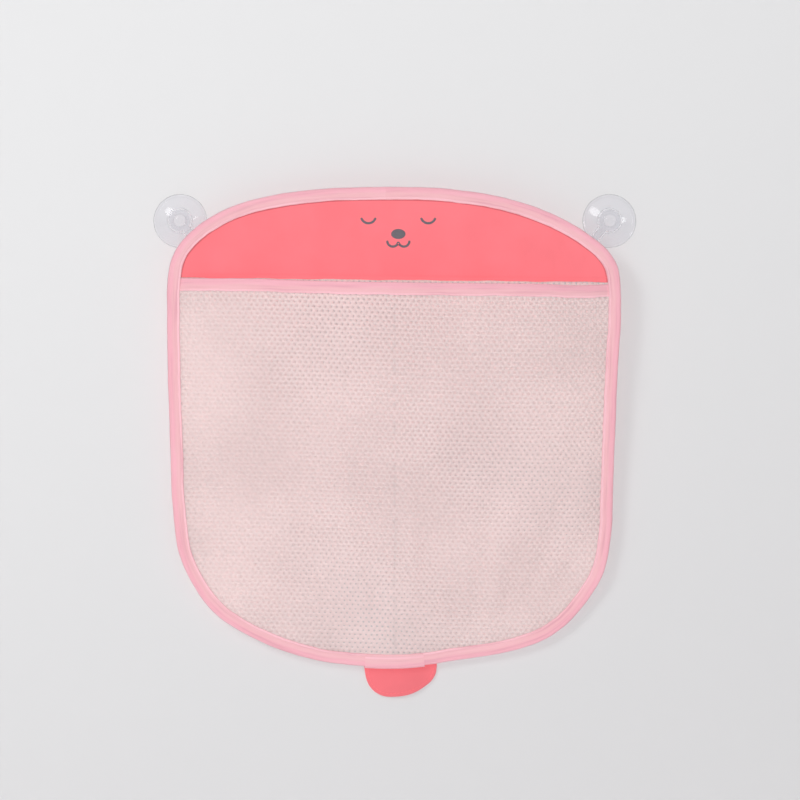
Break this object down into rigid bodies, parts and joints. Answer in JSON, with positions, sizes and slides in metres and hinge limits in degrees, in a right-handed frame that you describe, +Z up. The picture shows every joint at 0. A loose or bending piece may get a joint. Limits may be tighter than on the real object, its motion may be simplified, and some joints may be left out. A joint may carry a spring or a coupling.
{
  "type": "bath toy organizer",
  "caption": "Wall-hung net bag for bath toys: a slack net pocket under a cloth head panel, edged with folded tape, with a small tail, on the clear hooks of suction cups.",
  "frame": {"origin": "on the wall's surface, midway between the two suction cups' centres", "axes": "+X to the viewer's right, +Y into the wall, +Z up"},
  "size_m": [0.4054, 0.051, 0.4271],
  "materials": {
    "cup_clear": "clear soft PVC, glossy",
    "hook_clear": "clear hard moulded plastic, glossy",
    "coral_cloth": "coated plain-weave cloth, coral, dull sheen",
    "net": "knitted polyester net, pale pink, matt",
    "tape": "woven polyester binding tape, pale pink, matt",
    "ink": "screen print, dark grey, matt"
  },
  "bodies": {
    "root": {"left_suction_cup": "cup_clear", "right_suction_cup": "cup_clear"},
    "left_hook": {"left_cup_hook": "hook_clear"},
    "right_hook": {"right_cup_hook": "hook_clear"},
    "bag": {"head_panel": "coral_cloth", "back_net": "net", "edge_binding": "tape", "left_hanging_loop": "tape", "right_hanging_loop": "tape", "print_left_eye": "ink", "print_right_eye": "ink", "print_nose": "ink", "print_mouth": "ink"},
    "pocket_front": {"pocket_front_net": "net", "mouth_binding": "tape"},
    "tail": {"tail": "coral_cloth"}
  },
  "joints": [
    {"name": "left_hook_swivel", "type": "hinge", "parent": "root", "child": "left_hook", "pos_m": [-0.1802, -0.0099, 0], "axis": [0, 1, 0], "range_deg": [-4, 4]},
    {"name": "right_hook_swivel", "type": "hinge", "parent": "root", "child": "right_hook", "pos_m": [0.1802, -0.0099, 0], "axis": [0, 1, 0], "range_deg": [-4, 4]},
    {"name": "bag_swing", "type": "hinge", "parent": "root", "child": "bag", "pos_m": [0, -0.0139, -0.01992], "axis": [-1, 0, 0], "range_deg": [0, 25]},
    {"name": "pocket_open", "type": "hinge", "parent": "bag", "child": "pocket_front", "pos_m": [0, -0.00607, -0.36381], "axis": [1, 0, 0], "range_deg": [0, 10], "stiffness_Nm_per_rad": 0.15, "springref_deg": -11.46},
    {"name": "tail_flap", "type": "hinge", "parent": "bag", "child": "tail", "pos_m": [0.0048, -0.001, -0.37464], "axis": [-1, 0, 0], "range_deg": [0, 75]}
  ]
}
